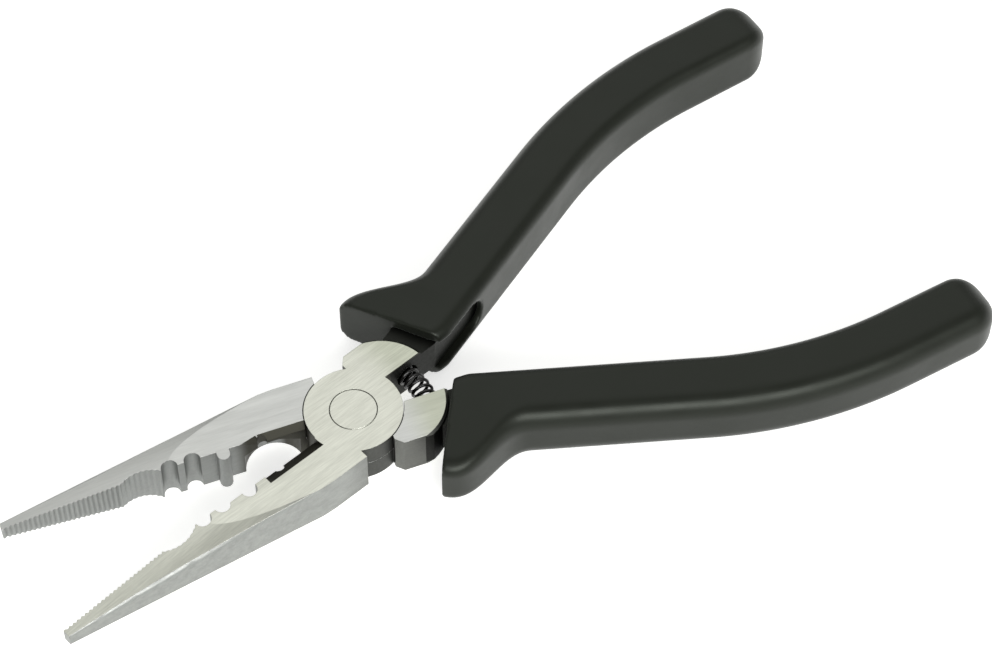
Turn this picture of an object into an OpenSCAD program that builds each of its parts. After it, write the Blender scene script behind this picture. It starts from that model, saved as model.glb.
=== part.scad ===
// Long-nose fishing pliers. Two forged halves are lapped on one rivet, a small coil spring between
// their tangs holds them open, and a soft flared grip is drawn over each handle.
// The rivet's axis is Z through the origin, the joint's rear face lies at z = 0 and the handles
// point to +X. Each half is drawn closed along the X axis and then turned by half of the opening.

/* [Joint] */
// Thickness of the steel at the joint
joint_thick = 8; // [6:0.1:12]
// Radius of the round boss that each half laps over the other
boss_r = 8; // [6:0.1:12]
// Angle between the two jaws as drawn, held open by the spring
open_angle = 20.8; // [5:0.1:40]
// Radius of the rivet's shank
shank_r = 2.5; // [1.5:0.1:4]
// Radius of the rivet's flush heads
head_r = 3.9; // [3:0.1:6]
// Thickness of each rivet head
head_thick = 1.4; // [0.8:0.1:2.5]
// Bevel round the rim of each rivet head, seen as a fine ring
head_bevel = 0.15; // [0.05:0.05:0.4]

/* [Jaws] */
// Length of the jaws from the rivet's axis to the tips
jaw_length = 58.5; // [40:0.5:80]
// Width of one jaw at its tip
tip_width = 1.5; // [1:0.1:3]
// Thickness of the jaws at the tip
tip_thick = 2.5; // [1.5:0.1:4]
// Half width of the closed joint
heel_width = 8.3; // [6:0.1:12]
// Distance from the rivet's axis to the square end of the full-thickness heel
heel_x = 4.2; // [3:0.1:6]
// Distance from the rivet's axis where the nose starts to narrow
nose_start = 15.5; // [12:0.5:25]
// How much narrower the joint is there than at the heel
nose_drop = 0.3; // [0:0.1:1]
// Length over which it gets so much narrower
nose_run = 4.5; // [2:0.5:8]
// Distance from the rivet's axis where the flat faces end at the mating line
taper_start = 31; // [20:0.5:40]
// Radius across the crowned faces of the nose
crown_r = 20; // [12:1:40]
// Radii that round the nose's outer edges, where it starts and at the tip
edge_r = [1.8, 0.45]; // [0.2:0.05:3]
// Heights of those rounded edges above the middle of the jaw, at the same places
edge_height = [4.85, 1.32]; // [1:0.05:6]

/* [Gripping faces] */
// Pitch of the teeth
tooth_pitch = 0.8; // [0.5:0.05:1.5]
// Depth of the teeth
tooth_depth = 0.3; // [0.1:0.05:0.6]
// Distance from the rivet's axis to the end of the flat toothed face
teeth_end = 39; // [30:0.5:45]
// Length of the hollowed toothed face behind it
hollow_length = 6.6; // [4:0.1:10]
// Depth of that hollow in each jaw
hollow_depth = 1.1; // [0.5:0.1:2]
// Radius of the round crimping notches
crimp_r = 1.35; // [0.8:0.05:2]
// Distances from the rivet's axis to the round crimping notches
crimp_x = [30.8, 27]; // [20:0.1:35]
// Radius of the punch on the rear half's jaw that presses into the front half's notch
punch_r = 1.05; // [0.6:0.05:2]
// Distance from the rivet's axis to the punch
punch_x = 22; // [18:0.1:26]
// Height of the punch's tip above the mating line
punch_reach = 1.7; // [1:0.1:2.5]
// Space round the punch when the jaws are closed
punch_gap = 0.25; // [0.1:0.05:0.5]
// Depth of the shallow groove from the nearer crimping notch past the punch's notch
groove_depth = 0.5; // [0.2:0.1:1]

/* [Wire cutter] */
// Distance from the joint's front face down to the cutting edges
edge_drop = 1.4; // [0.8:0.1:3]
// Widths of the bevels on the front half and on the rear half
bevel_width = [2, 0.9]; // [0.4:0.1:3]
// Distances from the rivet's axis to the ends of those bevels
bevel_end = [18.7, 16]; // [14:0.1:20]
// Length over which the rear half's bevel runs out
bevel_fade = 3; // [2:0.5:4]
// Radius of the relief hole behind the blades
relief_r = 4.8; // [3:0.1:6]
// Distance from the rivet's axis to the relief hole
relief_x = 13.8; // [10:0.1:16]
// How far each half's relief is set across the mating line
relief_offset = 1; // [0:0.1:2]
// Height of the relief hole's domed end
relief_dome = 1.8; // [1:0.1:3]
// Least thickness of the blade over the relief hole
blade_back = 0.4; // [0.2:0.1:1]
// Radius of the small stripping notch in the blades
strip_r = 0.8; // [0.4:0.05:1.5]
// Distance from the rivet's axis to the stripping notch
strip_x = 15.4; // [14:0.1:17]

/* [Tangs] */
// Distance from the mating line to the inner edge of each tang
tang_inner = 1.4; // [0.8:0.1:3]
// Half width of the joint across the tang shoulders
shoulder_width = 8.9; // [7:0.1:12]
// Radius of the round end of the full-thickness shoulder
shoulder_r = 9.5; // [7:0.1:12]
// Centre of that round end, along and across the pliers
shoulder_at = [6, 0.5]; // [0:0.1:10]
// Bevel round that end
shoulder_bevel = 0.5; // [0.1:0.1:1]
// Size of the shoulder's cut corner beside the boss
shoulder_corner = 1.2; // [0.5:0.1:2]
// Width of the tang inside the grip
tang_width = 7.6; // [5:0.1:10]
// Thickness of the tang inside the grip
tang_thick = 6.4; // [4:0.1:8]
// How much narrower the tang is on each side where it bends
tang_neck = 0.4; // [0.2:0.1:1]

/* [Handles] */
// Angle at which each handle leaves the joint
handle_angle = 16.2; // [8:0.1:25]
// Length of the handle's straight part from the rivet's axis
straight_length = 57.3; // [40:0.1:70]
// Radius of the handle's bend
bend_r = 75; // [50:1:120]
// Angle through which the handle bends back
bend_angle = 25; // [15:0.1:45]
// Total length of the handle along its middle line
handle_length = 107.8; // [90:0.5:130]
// Distance from the handle's middle line to the grip's outer side
grip_out = 5.5; // [4.5:0.1:8]
// Distance from the handle's middle line to the grip's inner side
grip_in = 5.2; // [4.5:0.1:8]
// Height of the grip
grip_height = 11.5; // [9:0.1:15]
// Radius of the grip's long edges on its outer side
outer_edge_r = 3.4; // [1:0.1:5]
// Radius of the grip's long edges on its inner side
inner_edge_r = 2.2; // [1:0.1:5]
// Radius of the guard's outer edges
guard_edge_r = 1.8; // [1:0.1:4]
// Distance from the handle's middle line to the guard's outer edge
guard_reach = 13.5; // [8:0.1:20]
// Place of the guard's widest point along the handle
guard_at = 15.2; // [14:0.1:22]
// Length over which the guard falls back to the grip
guard_fall = 12.8; // [6:0.1:20]
// Curve of the guard's front edge, its fall over the square of the distance
guard_curve = 0.1; // [0.05:0.01:0.4]
// Share of its height that the guard loses for each millimetre outwards
guard_thinning = 0.02; // [0:0.005:0.04]
// Where the lower and the upper grip's slanted mouth would meet the mating line, from the rivet
mouth_at = [17.2, 19.2]; // [16:0.1:21]
// Angles by which the two mouths slant back from square
mouth_slant = [27, 24]; // [0:1:40]
// How much further along its tang the upper grip sits than the lower one
upper_shift = 1.3; // [0:0.1:2]
// Distance of the shallow recess in the mouth from the shoulder's round end
mouth_recess = 1.7; // [1:0.1:3]
// Length of the open slot from the grip's mouth, along the handle
slot_end = 30.5; // [24:0.5:40]
// Height of that slot
slot_height = 7; // [4:0.1:8]

/* [Spring] */
// Distance from the rivet's axis to the spring's middle line
spring_at = 12.5; // [10:0.1:15]
// Radius of the coil to the middle of the wire
coil_r = 1.6; // [1:0.05:2.5]
// Diameter of the wire
wire = 0.55; // [0.4:0.05:0.8]
// Number of turns
turns = 7; // [4:1:12]
// Angle from the closed mating line to the floor of each spring pocket
pocket_angle = 14; // [10:0.5:20]
// Depth of each spring pocket from its floor to beyond the tang's inner edge
pocket_depth = 4; // [3:0.5:6]
// Radius of the bend from each straight end into the first turn
turn_in = 0.6; // [0.4:0.1:1]

/* [Clearances] */
// Gap between the two lapped layers
lap_gap = 0.06; // [0.02:0.01:0.2]
// Gap round each boss
boss_gap = 0.15; // [0.05:0.05:0.4]
// Radial gap between the rivet and the half that turns on it
run_gap = 0.05; // [0.01:0.01:0.1]
// Radial gap between the rivet and the half that holds it
hold_gap = 0.01; // [0.01:0.01:0.05]
// Gap between the steel and the grip drawn over it
grip_gap = 0.05; // [0.02:0.01:0.2]
// Gap from each jaw to the mating line, and between the closed grips and that line
face_gap = 0.02; // [0.01:0.01:0.1]
// Least distance from each grip to the mating line
grip_apart = 0.25; // [0.15:0.05:1]
// Radial gap round the spring in its pockets
pocket_gap = 0.17; // [0.1:0.01:0.5]

/* [Hidden] */
$fn = 96;
mid = joint_thick / 2;
layer = mid - lap_gap / 2;
past = 1;
half_turn = open_angle / 2;
taper_angle = atan((joint_thick - tip_thick) / 2 / (jaw_length - taper_start));
edge_z = joint_thick - edge_drop;
hollow_r = (pow(hollow_length / 2, 2) + pow(hollow_depth, 2)) / (2 * hollow_depth);
bend_end = straight_length + bend_r * bend_angle * PI / 180;
grip_width = grip_out + grip_in;
bend_centre = [
    straight_length * cos(handle_angle) + bend_r * sin(handle_angle),
    -straight_length * sin(handle_angle) + bend_r * cos(handle_angle)
];
steel = [0.80, 0.80, 0.77];
bright = [0.88, 0.88, 0.85];
rubber = [0.16, 0.16, 0.15];
black = [0.08, 0.08, 0.08];

// ---------------------------------------------------------------- both halves

// The jaw seen from above, before its mating face is cut. The rear half's jaw lies at +Y.
module jaw_outline() {
    polygon([
        [-jaw_length, -punch_reach - past],
        [-jaw_length, tip_width],
        [-nose_start, heel_width - nose_drop],
        [-nose_start + nose_run, heel_width],
        [-heel_x, heel_width],
        [-heel_x, -punch_reach - past]
    ]);
}

// One crowned face of the nose: a wide cylinder whose top line falls towards the tip.
module crowned_face() {
    translate([-taper_start, 0, joint_thick])
        rotate([0, -taper_angle, 0])
            translate([0, 0, -crown_r])
                rotate([0, 90, 0])
                    cylinder(r = crown_r, h = 4 * jaw_length, center = true);
}

// What is rounded off the nose's upper outer edge: the corner outside a slim cone that lies along
// it. The cone's height lets the rounding start from nothing behind the nose.
module nose_edge_cut() {
    root = [-nose_start, heel_width - nose_drop - edge_r[0], mid + edge_height[0] - edge_r[0]];
    tip = [-jaw_length, tip_width - edge_r[1], mid + edge_height[1] - edge_r[1]];
    way = tip - root;
    fall = (edge_r[0] - edge_r[1]) / norm(way);
    reach = norm(way) + nose_run + past;
    corner = 2 * edge_r[0];
    translate(root)
        rotate([0, acos(way[2] / norm(way)), atan2(way[1], way[0])])
            translate([0, 0, -nose_run])
                difference() {
                    translate([-corner, -corner, 0])
                        cube([corner, corner, reach]);
                    translate([0, 0, -past])
                        cylinder(
                            r1 = edge_r[0] + fall * (nose_run + past),
                            r2 = edge_r[1] - 2 * fall * past,
                            h = reach + 2 * past
                        );
                }
}

// Teeth on the flat face, as one saw-toothed strip that is taken away.
module teeth() {
    count = floor((jaw_length - teeth_end) / tooth_pitch);
    polygon(concat(
        [[-teeth_end, -past]],
        [
            for (i = [0 : count - 1])
                for (p = [[0, 0], [0.5, tooth_depth]])
                    [-teeth_end - (i + p[0]) * tooth_pitch, p[1]]
        ],
        [[-teeth_end - count * tooth_pitch, 0], [-teeth_end - count * tooth_pitch, -past]]
    ));
}

// The hollow behind the flat teeth, an arc with the same teeth round it.
module toothed_hollow() {
    half_arc = asin(hollow_length / 2 / hollow_r);
    count = 2 * floor(half_arc * PI / 180 * hollow_r / tooth_pitch);
    translate([-teeth_end + hollow_length / 2, hollow_depth - hollow_r])
        polygon(concat(
            [for (i = [0 : 2 * count])
                let (a = 90 + half_arc * (1 - i / count), r = hollow_r + (i % 2) * tooth_depth / 2)
                [r * cos(a), r * sin(a)]],
            [[hollow_length / 2, hollow_r - hollow_depth - past],
             [-hollow_length / 2, hollow_r - hollow_depth - past]]
        ));
}

// The punch's outline, widened by a gap for the notch that it presses into.
module punch_outline(gap) {
    translate([-punch_x, punch_r - punch_reach])
        circle(r = punch_r + gap);
    translate([-punch_x - punch_r - gap, punch_r - punch_reach])
        square([2 * (punch_r + gap), punch_reach + past]);
}

// All that is cut from the rear half's mating side. The front half has the notch for the punch.
module mating_cuts(with_punch) {
    difference() {
        translate([-jaw_length - past, face_gap - 4 * past])
            square([jaw_length + past - heel_x / 2, 4 * past]);
        if (with_punch) {
            punch_outline(0);
        }
    }
    translate([0, face_gap]) {
        teeth();
        toothed_hollow();
        for (x = crimp_x) {
            translate([-x, 0])
                circle(r = crimp_r);
        }
    }
    if (!with_punch) {
        mirror([0, 1])
            punch_outline(punch_gap);
        translate([-crimp_x[1], 0])
            square([crimp_x[1] - bevel_end[0], groove_depth]);
    }
    translate([-strip_x, 0])
        circle(r = strip_r);
}

// The strip along the handle that the tang fills: straight, then bent and a little narrower.
module tang_strip(half_width) {
    bent = half_width - tang_neck;
    overlap = 2;
    rotate(-handle_angle)
        translate([spring_at, -half_width])
            square([straight_length - spring_at, 2 * half_width]);
    intersection() {
        translate(bend_centre)
            difference() {
                circle(r = bend_r + bent, $fn = 360);
                circle(r = bend_r - bent, $fn = 360);
            }
        translate(bend_centre)
            polygon([
                [0, 0],
                2 * bend_r * [-sin(handle_angle + overlap), -cos(handle_angle + overlap)],
                2 * bend_r * [sin(bend_angle - handle_angle), -cos(bend_angle - handle_angle)]
            ]);
    }
}

// The tang from above, kept off the mating line. A gap makes the space for it inside the grip.
module tang_outline(gap) {
    difference() {
        tang_strip(tang_width / 2 + gap);
        translate([0, -tang_inner + gap])
            square([2 * straight_length, 4 * shoulder_width]);
    }
}

// The round end of the full-thickness shoulder, beveled at both faces.
module shoulder_round(gap) {
    bevel = shoulder_bevel;
    translate([shoulder_at[0], -shoulder_at[1], 0]) {
        translate([0, 0, bevel])
            cylinder(r = shoulder_r + gap, h = joint_thick - 2 * bevel);
        cylinder(r1 = shoulder_r + gap - bevel, r2 = shoulder_r + gap, h = bevel);
        translate([0, 0, joint_thick - bevel])
            cylinder(r1 = shoulder_r + gap, r2 = shoulder_r + gap - bevel, h = bevel);
    }
}

// The full-thickness shoulder between the boss and the grip.
module shoulder() {
    intersection() {
        shoulder_round(0);
        linear_extrude(joint_thick)
            polygon([
                [heel_x, -tang_inner],
                [heel_x, shoulder_corner - shoulder_width],
                [heel_x + shoulder_corner, -shoulder_width],
                [2 * shoulder_r, -shoulder_width],
                [2 * shoulder_r, -tang_inner]
            ]);
    }
}

// The blind hole in the tang that holds one end of the spring.
module spring_pocket() {
    rotate(-pocket_angle)
        translate([spring_at, 0, mid])
            rotate([-90, 0, 0])
                cylinder(r = coil_r + wire / 2 + pocket_gap, h = pocket_depth);
}

// One half, lying as the rear half does: jaw at +Y, tang at -Y and its own boss in the layer next
// to z = 0. The other layer is cleared for the other half's boss. What is given to it as children
// is ground away last.
module half(with_punch, rivet_gap) {
    difference() {
        union() {
            difference() {
                intersection() {
                    linear_extrude(joint_thick)
                        jaw_outline();
                    crowned_face();
                    translate([0, 0, joint_thick])
                        mirror([0, 0, 1])
                            crowned_face();
                }
                nose_edge_cut();
                translate([0, 0, joint_thick])
                    mirror([0, 0, 1])
                        nose_edge_cut();
                translate([0, 0, -past])
                    linear_extrude(joint_thick + 2 * past)
                        mating_cuts(with_punch);
            }
            cylinder(r = boss_r, h = layer);
            shoulder();
            translate([0, 0, mid - tang_thick / 2])
                linear_extrude(tang_thick)
                    tang_outline(0);
        }
        translate([0, 0, layer])
            cylinder(r = boss_r + boss_gap, h = joint_thick);
        translate([0, 0, -past])
            cylinder(r = shank_r + rivet_gap, h = joint_thick);
        translate([0, 0, -past])
            cylinder(r = head_r + rivet_gap, h = head_thick + rivet_gap + past);
        spring_pocket();
        children();
    }
}

// A bevel beside one blade: what is ground off between the cutting edge and the front face.
// Positive widths lie at +Y and negative ones at -Y.
module bevel_cut(width, from, to) {
    rise = edge_drop + past;
    open_side = sign(width) * past;
    translate([-from, 0, edge_z])
        rotate([90, 0, -90])
            linear_extrude(to - from)
                polygon([
                    [open_side, 0],
                    [0, 0],
                    [-width * rise / edge_drop, rise],
                    [open_side, rise]
                ]);
}

// The relief behind one blade, a hole with a domed end that leaves the blade its thickness.
module relief_cut(side) {
    straight = edge_z - blade_back - relief_dome + past;
    translate([-relief_x, -side * relief_offset, -past]) {
        cylinder(r = relief_r, h = straight);
        translate([0, 0, straight])
            cylinder(r1 = relief_r, r2 = relief_r / 3, h = relief_dome);
    }
}

// ---------------------------------------------------------------- sub-parts

// Turns a half over about the X axis, within the joint's thickness.
module turned_over() {
    translate([0, 0, joint_thick])
        rotate([180, 0, 0])
            children();
}

module front_half() {
    color(bright)
    rotate(half_turn)
        turned_over()
            half(false, hold_gap)
                turned_over() {
                    difference() {
                        bevel_cut(-bevel_width[0], boss_r / 2, bevel_end[0]);
                        cylinder(r = boss_r + boss_gap, h = 2 * joint_thick);
                    }
                    relief_cut(-1);
                }
}

module rear_half() {
    color(steel)
    rotate(-half_turn)
        half(true, run_gap) {
            bevel_cut(bevel_width[1], boss_r / 2, bevel_end[1]);
            translate([-bevel_end[1], 0, 0])
                rotate(atan(bevel_width[1] / bevel_fade))
                    bevel_cut(bevel_width[1], 0, bevel_fade + past);
            relief_cut(1);
        }
}

module pivot_rivet() {
    color(bright) {
        cylinder(r = shank_r, h = joint_thick);
        for (face = [0, 1]) {
            translate([0, 0, face * joint_thick])
                mirror([0, 0, face]) {
                    cylinder(r1 = head_r - head_bevel, r2 = head_r, h = head_bevel);
                    translate([0, 0, head_bevel])
                        cylinder(r = head_r, h = head_thick - head_bevel);
                }
        }
    }
}

// ---------------------------------------------------------------- grips

// Where the handle's middle line is at the distance s along it, and which way it points there.
function bend_at(s) = max(0, min(bend_angle, (s - straight_length) / bend_r * 180 / PI));
function heading(s) = bend_at(s) - handle_angle;
function place(s) =
    s <= straight_length ? s * [cos(handle_angle), -sin(handle_angle)]
    : bend_centre + bend_r * [sin(heading(s)), -cos(heading(s))]
      + max(0, s - bend_end) * [cos(heading(s)), sin(heading(s))];

// How far the grip reaches outwards, inwards and up from the handle's middle line.
function guard_fade(s) = (1 + cos(180 * max(0, min(1, (s - guard_at) / guard_fall)))) / 2;
function outer_reach(s) =
    grip_out + (guard_reach - grip_out) * guard_fade(s)
    - guard_curve * pow(max(0, guard_at - s), 2);
function inner_reach(s) =
    min(grip_in, (s * sin(handle_angle) - grip_apart) / cos(handle_angle));
function outer_edge(s) = outer_edge_r + (guard_edge_r - outer_edge_r) * guard_fade(s);
function end_scale(s) =
    s < round_start ? 1
    : sqrt(max(0, 1 - pow((s - round_start) / (grip_width / 2), 2)));

// One cross-section of the grip: a rounded oblong, a little lower out on the guard.
corner_steps = 6;
function ring(s) =
    let (k = end_scale(s), out = outer_reach(s) * k, in = inner_reach(s) * k, up = grip_height / 2 * k)
    let (c = place(s), a = heading(s))
    [
        for (q = [0 : 3])
            for (j = [0 : corner_steps])
                let (b = 90 * q + 90 * j / corner_steps, outside = q == 0 || q == 3)
                let (r = k * (outside ? outer_edge(s) : inner_edge_r))
                let (n = (outside ? out - r : r - in) + r * cos(b))
                let (z = (q < 2 ? up - r : r - up) + r * sin(b))
                let (thin = 1 - guard_thinning * max(0, n - tang_width / 2))
                [c[0] + n * sin(a), c[1] - n * cos(a), mid + z * thin]
    ];

function ring_faces(rings, size) = concat(
    [for (i = [0 : rings - 2]) for (j = [0 : size - 1])
        [i * size + j, i * size + (j + 1) % size, (i + 1) * size + j]],
    [for (i = [0 : rings - 2]) for (j = [0 : size - 1])
        [i * size + (j + 1) % size, (i + 1) * size + (j + 1) % size, (i + 1) * size + j]],
    [for (j = [1 : size - 2]) [0, j + 1, j]],
    [for (j = [1 : size - 2]) [(rings - 1) * size, (rings - 1) * size + j, (rings - 1) * size + j + 1]]
);

// The grip's places along the handle: close together at the guard and at the rounded end.
grip_start = 10;
fine_step = 1.25;
long_step = 3;
guard_end = guard_at + guard_fall;
round_start = handle_length - grip_width / 2;
stations = concat(
    [for (s = [grip_start : fine_step : guard_end + fine_step / 2]) s],
    [for (s = [guard_end + long_step : long_step : round_start - long_step / 2]) s],
    [for (a = [0 : 11 : 80]) round_start + grip_width / 2 * sin(a)]
);

module grip_skin() {
    rings = [for (s = stations) ring(s)];
    polyhedron(
        points = [for (r = rings) for (p = r) p],
        faces = ring_faces(len(rings), len(rings[0]))
    );
}

// The grip of the rear half, its skin moved along the tang by the shift: cut off at a slant just
// beyond the shoulder, with a shallow recess round the shoulder's end, the tang's space and the
// slot on the inner side.
module grip(shift, mouth, slant) {
    difference() {
        translate(shift * [cos(handle_angle), -sin(handle_angle), 0])
            grip_skin();
        translate([mouth, 0, mid])
            rotate(-slant)
                translate([-mouth, -2 * mouth, -grip_height])
                    cube([mouth, 4 * mouth, 2 * grip_height]);
        translate([shoulder_at[0], -shoulder_at[1], -grip_gap - past / 4])
            cylinder(r = shoulder_r + mouth_recess, h = joint_thick + 2 * grip_gap + past / 2);
        translate([0, 0, mid - tang_thick / 2 - grip_gap])
            linear_extrude(tang_thick + 2 * grip_gap)
                tang_outline(grip_gap);
        rotate(-handle_angle)
            translate([0, tang_width / 2 - past, mid]) {
                translate([0, 0, -slot_height / 2])
                    cube([slot_end - slot_height / 2, grip_in, slot_height]);
                translate([slot_end - slot_height / 2, 0, 0])
                    rotate([-90, 0, 0])
                        cylinder(r = slot_height / 2, h = grip_in);
            }
    }
}

module upper_grip() {
    color(rubber)
    rotate(half_turn)
        turned_over()
            grip(upper_shift, mouth_at[1], mouth_slant[1]);
}

module lower_grip() {
    color(rubber)
    rotate(-half_turn)
        grip(0, mouth_at[0], mouth_slant[0]);
}

// ---------------------------------------------------------------- spring

// The wire's route is measured along the coil's bent axis and round it. Each end stands straight
// on its pocket's floor for one wire diameter and then bends round into the first turn.
leg = wire;
spring_length = 2 * (pocket_angle + half_turn) * PI / 180 * spring_at - 2 * face_gap;
lead_in = concat(
    [[0, 0]],
    [for (g = [0 : 30 : 90]) [leg + turn_in * sin(g), turn_in * (1 - cos(g)) / coil_r * 180 / PI]]
);
coil_from = lead_in[len(lead_in) - 1];
steps = 8 * turns;
route = concat(
    lead_in,
    [for (i = [1 : steps - 1])
        [coil_from[0] + (spring_length - 2 * coil_from[0]) * i / steps,
         coil_from[1] + 360 * turns * i / steps]],
    [for (i = [len(lead_in) - 1 : -1 : 0])
        [spring_length - lead_in[i][0], 2 * coil_from[1] + 360 * turns - lead_in[i][1]]]
);

// A point at the distance along the bent axis, the angle round it and the radius from it.
function on_coil(along, around, r) =
    let (a = (along / spring_length - 0.5) * 2 * (pocket_angle + half_turn))
    let (d = spring_at + r * cos(around))
    [d * cos(a), d * sin(a), mid + r * sin(around)];
wire_line = [for (p = route) on_coil(p[0], p[1], coil_r)];

// The ring of six points round the wire at one place on its route.
function unit(v) = v / norm(v);
function wire_ring(i) =
    let (last = len(route) - 1, p = route[i], half = wire / 2)
    let (way = i == 0 || i == last
        ? unit(on_coil(p[0] + half, p[1], coil_r) - on_coil(p[0] - half, p[1], coil_r))
        : unit(unit(wire_line[i + 1] - wire_line[i]) + unit(wire_line[i] - wire_line[i - 1])))
    let (out = unit(on_coil(p[0], p[1], coil_r + 1) - wire_line[i]))
    let (side = unit(cross(way, out)), up = cross(side, way))
    [for (j = [0 : 5]) wire_line[i] + half * (cos(60 * j) * up + sin(60 * j) * side)];

// The least gap between places on the wire that are at least half a turn apart.
coil_gap = min([
    for (i = [0 : len(route) - 1])
        for (j = [i + 1 : len(route) - 1])
            if (abs(route[j][1] - route[i][1]) > 180)
                norm(wire_line[j] - wire_line[i])
]) - wire;
echo(least_gap_in_spring = coil_gap);

module return_spring() {
    color(black)
    polyhedron(
        points = [for (i = [0 : len(route) - 1]) for (p = wire_ring(i)) p],
        faces = ring_faces(len(route), 6)
    );
}

front_half();
rear_half();
pivot_rivet();
return_spring();
upper_grip();
lower_grip();
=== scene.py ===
# %% [markdown]
# # Long-nose fishing pliers
#
# The tool is two forged halves lapped on one flush rivet, a small coil spring between their tangs
# and a soft grip dipped over each handle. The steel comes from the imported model, whose edges are
# exact, and only gets its finish here. What is soft or wound is built again in finer form: the two
# grips and the spring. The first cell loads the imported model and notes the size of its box.

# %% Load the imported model
import math

import bpy
import numpy as np
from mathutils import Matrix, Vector


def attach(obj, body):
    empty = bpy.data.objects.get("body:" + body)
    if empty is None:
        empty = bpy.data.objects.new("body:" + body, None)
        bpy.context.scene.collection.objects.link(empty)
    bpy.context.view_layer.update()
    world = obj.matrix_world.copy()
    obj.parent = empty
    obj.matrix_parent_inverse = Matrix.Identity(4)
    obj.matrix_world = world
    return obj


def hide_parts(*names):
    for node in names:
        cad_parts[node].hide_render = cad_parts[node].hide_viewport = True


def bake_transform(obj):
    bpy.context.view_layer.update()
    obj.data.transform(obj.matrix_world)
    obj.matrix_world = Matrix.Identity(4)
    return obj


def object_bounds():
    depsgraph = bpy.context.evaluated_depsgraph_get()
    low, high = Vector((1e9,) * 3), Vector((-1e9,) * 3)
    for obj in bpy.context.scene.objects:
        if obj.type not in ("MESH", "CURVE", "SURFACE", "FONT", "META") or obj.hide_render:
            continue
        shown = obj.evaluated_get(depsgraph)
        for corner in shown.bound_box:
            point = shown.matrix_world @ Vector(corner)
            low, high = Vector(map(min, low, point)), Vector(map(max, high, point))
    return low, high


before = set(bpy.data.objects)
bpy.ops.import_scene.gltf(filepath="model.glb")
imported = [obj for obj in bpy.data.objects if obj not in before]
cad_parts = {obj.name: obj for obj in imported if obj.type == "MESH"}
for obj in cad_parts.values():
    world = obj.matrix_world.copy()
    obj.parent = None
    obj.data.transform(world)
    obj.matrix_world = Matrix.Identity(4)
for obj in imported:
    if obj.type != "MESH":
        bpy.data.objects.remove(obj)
cad_low, cad_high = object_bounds()
print("pieces in the packed model:", sorted(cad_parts))

# %% [markdown]
# ## The handle's line
#
# Each grip follows its handle: straight out of the joint at an angle, then bent back until the two
# ends are nearly parallel. One could draw this as a Bezier curve, but a straight line and an arc
# are what the forging die has, and their points are easy to work out exactly. Everything is worked
# out in millimetres for a half that lies closed, and is turned to its real place at the end.

# %% The handle's line, in millimetres
MM = 0.001
THICK = 8.0            # steel at the joint
MID = THICK / 2
HALF_OPEN = math.radians(10.4)
LEAVE = math.radians(16.2)   # angle at which the handle leaves the joint
STRAIGHT = 57.3
BEND_R = 75.0
BEND = math.radians(25)
LENGTH = 107.8
BEND_CENTRE = np.array([
    STRAIGHT * math.cos(LEAVE) + BEND_R * math.sin(LEAVE),
    BEND_R * math.cos(LEAVE) - STRAIGHT * math.sin(LEAVE),
])


def heading(s):
    """Direction of the handle at the distance s: -LEAVE on the straight, then growing by
    (s - STRAIGHT) / BEND_R until it has turned by BEND."""
    return np.clip((s - STRAIGHT) / BEND_R, 0, BEND) - LEAVE


def place(s):
    """Point on the handle's middle line: s along the straight, then the arc's point
    centre + BEND_R * (sin a, -cos a) for heading a, then straight on."""
    a = heading(s)[..., None]
    along = np.concatenate([np.cos(a), np.sin(a)], -1)
    on_arc = BEND_CENTRE + BEND_R * np.concatenate([np.sin(a), -np.cos(a)], -1)
    beyond = np.maximum(0, s - STRAIGHT - BEND_R * BEND)[..., None]
    start = s[..., None] * np.array([math.cos(LEAVE), -math.sin(LEAVE)])
    return np.where(s[..., None] <= STRAIGHT, start, on_arc + beyond * along)


print("end of the handle's line:", place(np.array([LENGTH])).round(1))

# %% [markdown]
# ## Closed surfaces from rings
#
# The grip, the tools that cut it and the spring's wire are all the same kind of surface: rings of
# points, one after the other, joined by quads and closed at both ends by a fan. A single helper
# turns such a grid into a mesh. It measures the signed volume and turns the faces over if they
# point inwards, so no piece can end up inside out.

# %% Rings to mesh


def closed_tube(rings):
    """Points and faces of a grid of rings (count, around, 3), closed by a fan at each end.
    The volume is the sum of a . (b x c) / 6 over its triangles; negative means inside out."""
    count, around = rings.shape[:2]
    grid = np.arange(count * around).reshape(count, around)
    a, b = grid[:-1], grid[1:]
    quads = np.stack([a, np.roll(a, -1, 1), np.roll(b, -1, 1), b], -1).reshape(-1, 4)
    ends = np.array([rings[0].mean(0), rings[-1].mean(0)])
    points = np.concatenate([rings.reshape(-1, 3), ends])
    first = np.stack([np.roll(grid[0], -1), grid[0], np.full(around, count * around)], -1)
    last = np.stack([grid[-1], np.roll(grid[-1], -1), np.full(around, count * around + 1)], -1)
    triangles = np.concatenate([quads[:, :3], quads[:, [0, 2, 3]], first, last])
    p, q, r = (points[triangles[:, i]] for i in range(3))
    if np.einsum("ij,ij->i", p, np.cross(q, r)).sum() < 0:
        quads, first, last = quads[:, ::-1], first[:, ::-1], last[:, ::-1]
    return points, quads.tolist() + first.tolist() + last.tolist()


def mesh_object(name, points, faces):
    """A new smooth-shaded object with these points and faces, linked to the scene."""
    mesh = bpy.data.meshes.new(name)
    mesh.from_pydata(np.asarray(points).tolist(), [], faces)
    mesh.shade_smooth()
    made = bpy.data.objects.new(name, mesh)
    bpy.context.scene.collection.objects.link(made)
    return made


# %% [markdown]
# ## The grip's skin
#
# A dipped grip is a rounded oblong all the way along. Its outer edges are rounder than its inner
# ones, it swells into a guard that keeps the fingers off the joint, and it ends in a round nose.
# So every ring is the same outline with four corner arcs, and its reach outwards, reach inwards,
# height and corner radii are functions of the distance along the handle.

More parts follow.
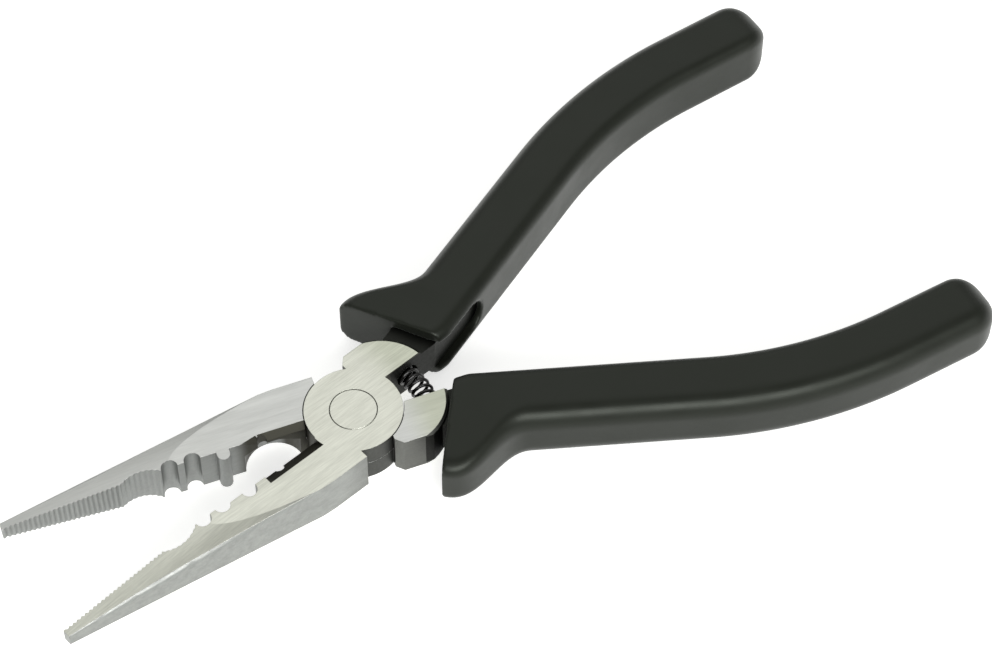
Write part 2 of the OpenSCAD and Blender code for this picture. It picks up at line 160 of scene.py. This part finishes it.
# %% The grip's skin
GRIP_OUT, GRIP_IN, GRIP_HEIGHT = 5.5, 5.2, 11.5
GRIP_START, GUARD_AT, GUARD_FALL, GUARD_REACH = 10.0, 15.2, 12.8, 13.5
GUARD_CURVE, GUARD_THINNING = 0.1, 0.02   # fall of its front edge, share of height lost per mm
OUTER_R, GUARD_R, INNER_R = 3.4, 2.5, 2.2   # radii of the long edges
GRIP_APART = 0.25                           # from each closed grip to the mating line
TANG_HALF, TANG_BENT_HALF, TANG_HALF_THICK = 3.8, 3.4, 3.2
NOSE_R = (GRIP_OUT + GRIP_IN) / 2
CORNER_STEPS = 12


def grip_rings(s):
    """Rings round the handle at the distances s. The guard fades by (1 + cos) / 2 over its fall,
    the nose shrinks by sqrt(1 - t^2), and each corner is a quarter circle."""
    guard = (1 + np.cos(math.pi * np.clip((s - GUARD_AT) / GUARD_FALL, 0, 1))) / 2
    out = GRIP_OUT + (GUARD_REACH - GRIP_OUT) * guard
    out = out - GUARD_CURVE * np.maximum(0, GUARD_AT - s) ** 2
    inn = np.minimum(GRIP_IN, (s * math.sin(LEAVE) - GRIP_APART) / math.cos(LEAVE))
    t = np.clip((s - LENGTH + NOSE_R) / NOSE_R, 0, 0.999)
    k = np.sqrt(1 - t ** 2)
    corner = np.repeat(np.arange(4), CORNER_STEPS + 1)
    angle = np.radians(90 * corner + np.tile(np.linspace(0, 90, CORNER_STEPS + 1), 4))
    outside = (corner == 0) | (corner == 3)
    upper = corner < 2
    radius = np.where(outside, (OUTER_R + (GUARD_R - OUTER_R) * guard)[:, None], INNER_R)
    across = np.where(outside, out[:, None] - radius, radius - inn[:, None])
    across = (across + radius * np.cos(angle)) * k[:, None]
    height = np.where(upper, GRIP_HEIGHT / 2 - radius, radius - GRIP_HEIGHT / 2)
    height = (height + radius * np.sin(angle)) * k[:, None]
    thin = 1 - GUARD_THINNING * np.maximum(0, across - TANG_HALF)
    a, centre = heading(s)[:, None], place(s)
    return np.stack([
        centre[:, :1] + across * np.sin(a),
        centre[:, 1:] - across * np.cos(a),
        MID + height * thin,
    ], -1)


nose_angles = np.radians(np.linspace(0, 84, 24))
stations = np.concatenate([
    np.arange(GRIP_START, LENGTH - NOSE_R - 0.2, 0.6),
    LENGTH - NOSE_R * (1 - np.sin(nose_angles)),
])
skin_rings = grip_rings(stations)
print("rings along the grip:", len(stations))

# %% [markdown]
# ## What is taken out of the grip
#
# The mouth of the grip is cut off at a slant just beyond the round steel shoulder, with a shallow
# recess where the shoulder's end comes near. Behind it are the space that the tang fills and the
# open slot on the inner side, where the moulding core stood. Modelling those rims by hand is slow.
# Cutting them with boolean tools and then remeshing gives the soft, melted rims of dipped PVC.

# %% Cutting tools
SHOULDER_AT = np.array([6.0, -0.5])
turn = np.linspace(0, 2 * math.pi, 96, endpoint=False)


def revolve(profile):
    """Rings of a profile of (radius, height) pairs turned about the shoulder's upright axis."""
    r, z = np.array(profile, float).T[..., None]
    return np.stack([
        SHOULDER_AT[0] + r * np.cos(turn), SHOULDER_AT[1] + r * np.sin(turn),
        MID + z + 0 * turn,
    ], -1)


def handle_box(s, inner, outer, half_height):
    """Rings of a rectangle carried along the handle, from -inner to outer across it."""
    a, centre = heading(s)[:, None], place(s)
    across = np.stack([outer, outer, -inner, -inner], -1)
    height = half_height * np.array([-1, 1, 1, -1]) + 0 * across
    return np.stack([
        centre[:, :1] + across * np.sin(a), centre[:, 1:] - across * np.cos(a), MID + height,
    ], -1)


RECESS_R, RECESS_HALF = 11.2, 4.3
recess_tool = revolve([(RECESS_R, -RECESS_HALF), (RECESS_R, RECESS_HALF)])

# the tang's space: its ends, the gap round the steel and its distance from the mating line
TANG_START, TANG_END, TANG_CLEAR, TANG_FROM_LINE = 8.0, 91.5, 0.12, 1.28
tang_s = np.concatenate([np.arange(TANG_START, STRAIGHT, 1.0), np.linspace(STRAIGHT, TANG_END, 40)])
tang_half = np.where(tang_s < STRAIGHT, TANG_HALF, TANG_BENT_HALF) + TANG_CLEAR
line_y = place(tang_s)[:, 1]
tang_in = np.minimum(tang_half, (-TANG_FROM_LINE - line_y) / np.cos(heading(tang_s)))
tang_tool = handle_box(tang_s, tang_in, tang_half, TANG_HALF_THICK + TANG_CLEAR)

SLOT_END, SLOT_R, SLOT_FROM, SLOT_TO = 30.5, 3.5, 2.8, 9.0
arc = np.linspace(-math.pi / 2, math.pi / 2, 33)
slot_line = np.concatenate([
    [[0.0, -SLOT_R]], np.stack([SLOT_END - SLOT_R + SLOT_R * np.cos(arc), SLOT_R * np.sin(arc)], -1),
    [[0.0, SLOT_R]],
])


def slot_ring(inwards):
    """The slot's outline, straight with a half-round end, at a distance in from the handle."""
    s, z = slot_line.T
    return np.stack([
        s * math.cos(LEAVE) + inwards * math.sin(LEAVE),
        -s * math.sin(LEAVE) + inwards * math.cos(LEAVE), MID + z,
    ], -1)


slot_tool = np.stack([slot_ring(SLOT_FROM), slot_ring(SLOT_TO)])


def mouth_tool(at, slant):
    """Rings of a block whose back face crosses the mating line at the distance and slants back
    from it: each corner (x, y) is turned by -slant and then moved by that distance."""
    x, y = np.array([[-30, 0, 0, -30], [-40, -40, 40, 40]], float)
    c, s = math.cos(slant), math.sin(slant)
    block = np.stack([at + x * c + y * s, y * c - x * s, 0 * x - 10], -1)
    return np.stack([block, block + [0, 0, 30]])


# %% [markdown]
# ## Cutting and softening
#
# The four tools are subtracted with Boolean modifiers. A voxel Remesh then rebuilds the skin from
# small even cubes, 0.3 mm wide, and a Smooth modifier melts the cut edges to a radius of about
# half a millimetre. Working in millimetres keeps the booleans accurate. The result is read back
# as plain arrays, turned into place for each handle and scaled to metres.

# %% Cut, soften and read back


def cut_and_soften(rings, tools, voxel, rounds):
    """The skin less its tools, remeshed into cubes of the voxel's size and smoothed: arrays of
    points and faces. Smoothing moves each point half way to its neighbours' mean each round."""
    skin = mesh_object("grip_skin", *closed_tube(rings))
    made = [mesh_object("tool", *closed_tube(t)) for t in tools]
    for tool in made:
        cut = skin.modifiers.new("cut", "BOOLEAN")
        cut.operation, cut.solver, cut.object = "DIFFERENCE", "EXACT", tool
    soften = skin.modifiers.new("soften", "REMESH")
    soften.mode, soften.voxel_size = "VOXEL", voxel
    smooth = skin.modifiers.new("smooth", "SMOOTH")
    smooth.factor, smooth.iterations = 0.5, rounds
    view = bpy.context.evaluated_depsgraph_get()
    mesh = bpy.data.meshes.new_from_object(skin.evaluated_get(view))
    points = np.empty(len(mesh.vertices) * 3)
    mesh.vertices.foreach_get("co", points)
    corners = np.empty(len(mesh.loops), int)
    mesh.loops.foreach_get("vertex_index", corners)
    for o in [*made, skin]:
        bpy.data.objects.remove(o)
    return points.reshape(-1, 3), corners.reshape(-1, 4)


def turned(points, angle, over=False):
    """Points turned over about the X axis if asked, turned about the rivet and made metres."""
    x, y, z = points.T
    if over:
        y, z = -y, THICK - z
    c, s = math.cos(angle), math.sin(angle)
    return np.stack([x * c - y * s, x * s + y * c, z], -1) * MM


# the upper grip was pushed on a little less far than the lower one, so its mouth stands back
grips = {}
for side, body, angle, over, shift, mouth, slant in [
    ("lower", "rear_body", -HALF_OPEN, False, 0.0, 17.2, math.radians(27)),
    ("upper", "front_body", HALF_OPEN, True, 1.3, 19.2, math.radians(24)),
]:
    rings = skin_rings + shift * np.array([math.cos(LEAVE), -math.sin(LEAVE), 0])
    tools = [recess_tool, tang_tool, slot_tool, mouth_tool(mouth, slant)]
    points, faces = cut_and_soften(rings, tools, voxel=0.3, rounds=5)
    grip = mesh_object(f"{side}_grip_skin", turned(points, angle, over), faces.tolist())
    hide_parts(f"{side}_grip")
    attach(grip, body)
    grips[side] = grip
    print(f"{side} grip:", len(points), "points")

# %% [markdown]
# ## The spring
#
# A short compression spring stands between the tangs, bent a little because its ends follow the
# two handles. The wire's middle line winds round an arc about the rivet. Each end stands straight
# on the floor of its pocket for one wire diameter and then turns into the first coil.

# %% The spring's wire
SPRING_AT, COIL_R, WIRE, TURNS = 12.5, 1.6, 0.55, 7
POCKET_ANGLE, FACE_GAP = math.radians(14), 0.02
END_ANGLE = POCKET_ANGLE + HALF_OPEN
SPRING_LENGTH = 2 * END_ANGLE * SPRING_AT - 2 * FACE_GAP
TURN_IN = 0.6
lead = np.radians(np.linspace(0, 90, 9))
lead_along = np.concatenate([[0, WIRE / 2], WIRE + TURN_IN * np.sin(lead)])
lead_around = np.concatenate([[0, 0], TURN_IN * (1 - np.cos(lead)) / COIL_R])
steps = np.linspace(0, 1, 40 * TURNS)[1:-1]
coil_along = lead_along[-1] + (SPRING_LENGTH - 2 * lead_along[-1]) * steps
coil_around = lead_around[-1] + 2 * math.pi * TURNS * steps
full_turn = 2 * lead_around[-1] + 2 * math.pi * TURNS
along = np.concatenate([lead_along, coil_along, SPRING_LENGTH - lead_along[::-1]])
around = np.concatenate([lead_around, coil_around, full_turn - lead_around[::-1]])


def on_coil(along, around, r):
    """The point at the radius r round the coil's bent axis: distance from the rivet
    SPRING_AT + r cos(around), height MID + r sin(around)."""
    a = (along / SPRING_LENGTH - 0.5) * 2 * END_ANGLE
    d = SPRING_AT + r * np.cos(around)
    return np.stack([d * np.cos(a), d * np.sin(a), MID + r * np.sin(around)], -1)


def unit(v):
    """v divided by its own length."""
    return v / np.linalg.norm(v, axis=-1, keepdims=True)


line = on_coil(along, around, COIL_R)
way = unit(np.gradient(line, axis=0))
outwards = unit(on_coil(along, around, COIL_R + 1) - line)
side_way = unit(np.cross(way, outwards))
up_way = np.cross(side_way, way)
round_wire = np.linspace(0, 2 * math.pi, 12, endpoint=False)[:, None]
wire_rings = line[:, None] + WIRE / 2 * (
    np.cos(round_wire) * up_way[:, None] + np.sin(round_wire) * side_way[:, None])
wire_points, wire_faces = closed_tube(wire_rings)
spring = mesh_object("return_spring_wire", wire_points * MM, wire_faces)
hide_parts("return_spring")
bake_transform(spring)
print("wire length in mm:", round(float(np.linalg.norm(np.diff(line, axis=0), axis=1).sum())))

# %% [markdown]
# ## Materials
#
# Every finish is a small node tree made by one helper, which adds a node, sets it up and links it.
# Colours are written as the hex values a paint chart gives and turned to linear light by one
# function. Patterns read Object coordinates, which are metres on the model, so a scale of 1000
# means one cell of the pattern to a millimetre.

# %% Node and colour helpers


def colour(hex_value):
    """Linear colour of an sRGB hex value: c / 12.92 below 0.04045, else ((c + 0.055) / 1.055)^2.4."""
    channels = [int(hex_value[i:i + 2], 16) / 255 for i in (1, 3, 5)]
    linear = [c / 12.92 if c <= 0.04045 else ((c + 0.055) / 1.055) ** 2.4 for c in channels]
    return (*linear, 1.0)


def add(material, kind, inputs=None, **settings):
    """A new node of this kind. settings are its own fields, and inputs maps each socket's name or
    number to a value or to the socket that feeds it."""
    tree = material.node_tree
    made = tree.nodes.new(kind)
    for field, value in settings.items():
        setattr(made, field, value)
    for socket, value in (inputs or {}).items():
        if isinstance(value, bpy.types.NodeSocket):
            tree.links.new(value, made.inputs[socket])
        else:
            made.inputs[socket].default_value = value
    return made


def new_material(name):
    """An empty material that uses nodes."""
    material = bpy.data.materials.new(name)
    material.use_nodes = True
    material.node_tree.nodes.clear()
    return material


def dress(piece, material):
    """The material as the piece's only one."""
    piece.data.materials.clear()
    piece.data.materials.append(material)


# %% [markdown]
# ## Brushed chrome-vanadium steel
#
# The halves are forged, milled and then ground on a belt, which leaves fine lines along the tool
# on the flat faces only. The milled walls stay greyer and duller, and the cutting edges and the
# inner walls of the tangs keep the dark oxide of the hardening bath, because no belt reaches them.
# A plain anisotropic metal would look the same everywhere, so the face that points up or down is
# told from the walls by its normal, and the oxide is put where the belt doesn't reach. Shade is
# painted in as well: the walls are made darker towards the tangs and round the joint, the tang's
# faces inside the grips are near black as painted shade over their unground finish, and the rear
# half's faces are a shade darker than the front's.

# %% Brushed steel


def brushed_steel(name, face, wall, turn_angle, lines, rough):
    """Ground faces, milled walls and dark oxide beside the mating line, with painted shade on the
    walls and the tangs. turn_angle is the half's own turn about the rivet, so that the brushing
    follows it. Lines are 0.25 mm apart, coarser than the real grit of about 0.1 mm, so that they
    still show."""
    m = new_material(name)
    spot = add(m, "ShaderNodeTexCoord").outputs["Object"]
    own = add(m, "ShaderNodeMapping", {"Vector": spot, "Rotation": (0, 0, -turn_angle)})
    own = own.outputs["Vector"]
    xyz = add(m, "ShaderNodeSeparateXYZ", {0: own})
    normal = add(m, "ShaderNodeNewGeometry").outputs["Normal"]
    up = add(m, "ShaderNodeMath", {0: add(m, "ShaderNodeSeparateXYZ", {0: normal}).outputs["Z"]},
             operation="ABSOLUTE")
    level = add(m, "ShaderNodeMapRange", {0: up.outputs[0], 1: 0.88, 2: 0.97},
                interpolation_type="SMOOTHSTEP").outputs[0]
    # the tang's own faces lie 0.8 mm lower than the joint's and were never ground; the near black
    # they get below is mostly painted shade of the grip's mouth
    height = add(m, "ShaderNodeMath", {0: xyz.outputs["Z"], 1: 0.004}, operation="SUBTRACT")
    height = add(m, "ShaderNodeMath", {0: height.outputs[0]}, operation="ABSOLUTE").outputs[0]
    low = add(m, "ShaderNodeMath", {0: height, 1: 0.0036}, operation="LESS_THAN").outputs[0]
    far = add(m, "ShaderNodeMath", {0: xyz.outputs["X"], 1: 0.009}, operation="GREATER_THAN").outputs[0]
    tang = add(m, "ShaderNodeMath", {0: low, 1: far}, operation="MULTIPLY").outputs[0]
    ground = add(m, "ShaderNodeMath", {0: level, 1: tang}, operation="SUBTRACT", use_clamp=True)
    # the rivet is ground over with the boss, so its rim is nearly as bright
    flat = add(m, "ShaderNodeCombineXYZ", {0: xyz.outputs["X"], 1: xyz.outputs["Y"]})
    from_rivet = add(m, "ShaderNodeVectorMath", {0: flat.outputs[0]}, operation="LENGTH")
    from_rivet = from_rivet.outputs["Value"]
    rim = add(m, "ShaderNodeMapRange", {0: from_rivet, 1: 0.0050, 2: 0.0045, 3: 0.0, 4: 0.55})
    ground = add(m, "ShaderNodeMath", {0: ground.outputs[0], 1: rim.outputs[0]}, operation="MAXIMUM")
    ground = ground.outputs[0]
    # belt lines: long along X, fine across Y
    streaks = add(m, "ShaderNodeMapping", {"Vector": own, "Scale": (260, 4000, 800)})
    streaks = add(m, "ShaderNodeTexNoise", {"Vector": streaks.outputs[0], "Scale": 1.0,
                                            "Detail": 4.0, "Roughness": 0.65}).outputs[0]
    broad = add(m, "ShaderNodeMapping", {"Vector": own, "Scale": (90, 700, 300)})
    broad = add(m, "ShaderNodeTexNoise", {"Vector": broad.outputs[0], "Scale": 1.0,
                                          "Detail": 2.0}).outputs[0]
    grain = add(m, "ShaderNodeTexNoise", {"Vector": own, "Scale": 2500.0, "Detail": 3.0}).outputs[0]
    # oxide: within 3 mm of the mating line, from the end of the cutter to the handles
    across = add(m, "ShaderNodeMath", {0: xyz.outputs["Y"]}, operation="ABSOLUTE").outputs[0]
    near = add(m, "ShaderNodeMapRange", {0: across, 1: 0.0036, 2: 0.0026},
               interpolation_type="SMOOTHSTEP").outputs[0]
    behind = add(m, "ShaderNodeMapRange", {0: xyz.outputs["X"], 1: -0.0205, 2: -0.0175},
                 interpolation_type="SMOOTHSTEP").outputs[0]
    oxide = add(m, "ShaderNodeMath", {0: near, 1: behind}, operation="MULTIPLY").outputs[0]
    unground = add(m, "ShaderNodeMath", {0: 1.0, 1: ground}, operation="SUBTRACT").outputs[0]
    oxide = add(m, "ShaderNodeMath", {0: oxide, 1: unground}, operation="MULTIPLY").outputs[0]
    # painted shade: the walls are made darker from the jaws to the tangs, and darkest round the joint
    # itself
    joint_shade = add(m, "ShaderNodeMapRange", {0: from_rivet, 1: 0.0089, 2: 0.0083},
                   interpolation_type="SMOOTHSTEP").outputs[0]
    shade_towards_tangs = add(m, "ShaderNodeMapRange", {0: xyz.outputs["X"], 1: -0.010, 2: 0.002},
                    interpolation_type="SMOOTHSTEP").outputs[0]
    shaded_wall_tone = add(m, "ShaderNodeMix", {0: shade_towards_tangs, 6: colour(wall), 7: colour("#6c6d69")},
                    data_type="RGBA").outputs[2]
    shaded_wall_tone = add(m, "ShaderNodeMix", {0: joint_shade, 6: shaded_wall_tone, 7: colour("#4c4d4a")},
                    data_type="RGBA").outputs[2]
    # the ground faces of the shoulders are made a little darker and yellower than the jaws'
    on_shoulder = add(m, "ShaderNodeMapRange", {0: xyz.outputs["X"], 1: 0.006, 2: 0.012},
                      interpolation_type="SMOOTHSTEP").outputs[0]
    face_tone = add(m, "ShaderNodeMix", {0: on_shoulder, 6: colour(face), 7: colour("#bec1b1")},
                    data_type="RGBA").outputs[2]
    base = add(m, "ShaderNodeMix", {0: ground, 6: shaded_wall_tone, 7: face_tone},
               data_type="RGBA").outputs[2]
    shade = add(m, "ShaderNodeMapRange", {0: streaks, 1: 0.3, 2: 0.7, 3: 1 - lines, 4: 1 + lines})
    base = add(m, "ShaderNodeVectorMath", {0: base, "Scale": shade.outputs[0]},
               operation="SCALE").outputs[0]
    base = add(m, "ShaderNodeMix", {0: oxide, 6: base, 7: colour("#494841")},
               data_type="RGBA").outputs[2]
    # painted shade: the tang's faces are made near black, much darker than their unground steel
    base = add(m, "ShaderNodeMix", {0: tang, 6: base, 7: colour("#2c2d2a")},
               data_type="RGBA").outputs[2]
    # roughness: the faces vary with the belt's lines, the walls with a fine grain
    face_rough = add(m, "ShaderNodeMapRange", {0: broad, 1: 0.3, 2: 0.7, 3: rough - 0.05,
                                               4: rough + 0.06}).outputs[0]
    wall_rough = add(m, "ShaderNodeMapRange", {0: grain, 1: 0.3, 2: 0.7, 3: 0.42, 4: 0.52})
    roughness = add(m, "ShaderNodeMix", {0: ground, 2: wall_rough.outputs[0], 3: face_rough},
                    data_type="FLOAT").outputs[0]
    relief = add(m, "ShaderNodeMix", {0: ground, 2: grain, 3: streaks}, data_type="FLOAT").outputs[0]
    edge = add(m, "ShaderNodeBevel", {"Radius": 0.00012}, samples=4).outputs[0]
    bump = add(m, "ShaderNodeBump", {"Height": relief, "Strength": 0.35, "Distance": 0.00002,
                                     "Normal": edge}).outputs[0]
    shader = add(m, "ShaderNodeBsdfPrincipled", {"Base Color": base, "Metallic": 1.0,
                                                 "Roughness": roughness, "Normal": bump})
    add(m, "ShaderNodeOutputMaterial", {"Surface": shader.outputs[0]})
    return m


# the rear half's faces are a shade darker than the front's: painted shade
front_steel = brushed_steel("belt_ground_steel_front", "#d2d3c8", "#979996", HALF_OPEN, 0.12, 0.34)
rear_steel = brushed_steel("belt_ground_steel_rear_shaded", "#cccdca", "#969896", -HALF_OPEN, 0.06, 0.38)
dress(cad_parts["front_half"], front_steel)
dress(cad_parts["rear_half"], rear_steel)
dress(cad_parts["pivot_rivet"], front_steel)

# %% [markdown]
# ## Black oxide spring wire
#
# Spring wire is drawn hard and blackened, then oiled, so it is nearly black with small sharp
# highlights. Black oxide is not a bare metal, so it is a dark glossy coat and not a metallic one.

# %% Spring wire
spring_black = new_material("oiled_black_oxide_wire")
wire_spot = add(spring_black, "ShaderNodeTexCoord").outputs["Object"]
wire_noise = add(spring_black, "ShaderNodeTexNoise", {"Vector": wire_spot, "Scale": 1800.0})
wire_rough = add(spring_black, "ShaderNodeMapRange", {0: wire_noise.outputs[0], 1: 0.3, 2: 0.7,
                                                      3: 0.16, 4: 0.3})
wire_tone = add(spring_black, "ShaderNodeMix", {0: wire_noise.outputs[0], 6: colour("#0c0c0c"),
                                                7: colour("#1c1b1a")}, data_type="RGBA")
wire_shader = add(spring_black, "ShaderNodeBsdfPrincipled", {
    "Base Color": wire_tone.outputs[2], "Roughness": wire_rough.outputs[0], "IOR": 1.6})
add(spring_black, "ShaderNodeOutputMaterial", {"Surface": wire_shader.outputs[0]})
dress(spring, spring_black)

# %% [markdown]
# ## Dipped PVC
#
# The grips are soft black PVC, dipped and cured. Up close the skin has a fine dull grain, and it
# is never quite even: it sags and thickens a little over a few millimetres, which shows where a
# highlight crosses it. So the bump has two sizes, and the colour and gloss drift slowly.

# %% Dipped PVC
pvc = new_material("dipped_soft_pvc")
pvc_spot = add(pvc, "ShaderNodeTexCoord").outputs["Object"]
# grain of 0.2 mm, waves of about 6 mm
pvc_grain = add(pvc, "ShaderNodeTexNoise", {"Vector": pvc_spot, "Scale": 4500.0, "Detail": 2.0})
pvc_waves = add(pvc, "ShaderNodeTexNoise", {"Vector": pvc_spot, "Scale": 160.0, "Detail": 2.0})
pvc_tone = add(pvc, "ShaderNodeMix", {0: pvc_waves.outputs[0], 6: colour("#10120d"),
                                      7: colour("#171914")}, data_type="RGBA")
pvc_rough = add(pvc, "ShaderNodeMapRange", {0: pvc_waves.outputs[0], 1: 0.3, 2: 0.7, 3: 0.37, 4: 0.44})
pvc_fine = add(pvc, "ShaderNodeBump", {"Height": pvc_grain.outputs[0], "Strength": 0.25,
                                       "Distance": 0.00003})
pvc_bump = add(pvc, "ShaderNodeBump", {"Height": pvc_waves.outputs[0], "Strength": 0.3,
                                       "Distance": 0.0002, "Normal": pvc_fine.outputs[0]})
pvc_shader = add(pvc, "ShaderNodeBsdfPrincipled", {
    "Base Color": pvc_tone.outputs[2], "Roughness": pvc_rough.outputs[0], "IOR": 1.41,
    "Specular Tint": colour("#e3eadf"),
    "Sheen Weight": 0.08, "Sheen Roughness": 0.4, "Sheen Tint": colour("#dfe6e2"),
    "Normal": pvc_bump.outputs[0]})
add(pvc, "ShaderNodeOutputMaterial", {"Surface": pvc_shader.outputs[0]})
for grip in grips.values():
    dress(grip, pvc)

# %% [markdown]
# ## Floor and light
#
# The tool lies on a plain white table, lit from all round as for a catalogue. Most of the light
# comes from the pale surroundings, a broad lamp overhead brightens the ground faces, and a lower
# lamp in front draws the long soft highlight along the rounded edges of the grips.

# %% Floor and light
scene = bpy.context.scene
scene.view_settings.view_transform = "Standard"
floor_z = cad_low.z
floor_points = np.array([[-3, -3, 0], [3, -3, 0], [3, 3, 0], [-3, 3, 0]], float)
floor = mesh_object("floor", floor_points + [0, 0, floor_z], [[0, 1, 2, 3]])
table = new_material("white_table")
table_shader = add(table, "ShaderNodeBsdfPrincipled", {
    "Base Color": colour("#e4e4e2"), "Roughness": 0.9, "Specular IOR Level": 0.0,
    "Emission Color": colour("#ffffff"), "Emission Strength": 0.65})
add(table, "ShaderNodeOutputMaterial", {"Surface": table_shader.outputs[0]})
dress(floor, table)

world = bpy.data.worlds.new("pale_room")
world.use_nodes = True
world.node_tree.nodes["Background"].inputs[0].default_value = colour("#f4f5f2")
world.node_tree.nodes["Background"].inputs[1].default_value = 0.5
scene.world = world


def soft_lamp(name, at, aim, width, height, watts):
    """A rectangular lamp at a point in metres, turned to face the aim."""
    light = bpy.data.lights.new(name, "AREA")
    light.shape, light.size, light.size_y, light.energy = "RECTANGLE", width, height, watts
    lamp = bpy.data.objects.new(name, light)
    lamp.location = at
    lamp.rotation_mode = "QUATERNION"
    lamp.rotation_quaternion = (Vector(aim) - Vector(at)).to_track_quat("-Z", "Y")
    scene.collection.objects.link(lamp)
    return lamp


centre = (cad_low + cad_high) / 2
soft_lamp("overhead_lamp", (0.30, 0.45, 0.80), centre, 0.8, 0.8, 1.4)
soft_lamp("front_lamp", (-0.15, -0.75, 0.55), centre, 0.9, 0.3, 8.0)

# %% [markdown]
# ## Camera
#
# The camera looks down on the tool from its front left, far enough away for a long lens. Its
# place is worked out from the point it looks at, the two viewing angles and the distance.

# %% Camera
AZIMUTH, ELEVATION, DISTANCE = math.radians(-31.45), math.radians(54.49), 0.5217
AIM = Vector((0.0273, 0.0010, 0.0107))
back = Vector((
    math.sin(AZIMUTH) * math.cos(ELEVATION), -math.cos(AZIMUTH) * math.cos(ELEVATION),
    math.sin(ELEVATION),
))
camera = bpy.data.objects.new("camera", bpy.data.cameras.new("camera"))
camera.data.sensor_width, camera.data.lens = 36.0, 117.1
camera.data.clip_start, camera.data.clip_end = 0.01, 20.0
camera.location = AIM + back * DISTANCE
camera.rotation_mode = "QUATERNION"
camera.rotation_quaternion = (-back).to_track_quat("-Z", "Y")
scene.collection.objects.link(camera)
scene.camera = camera
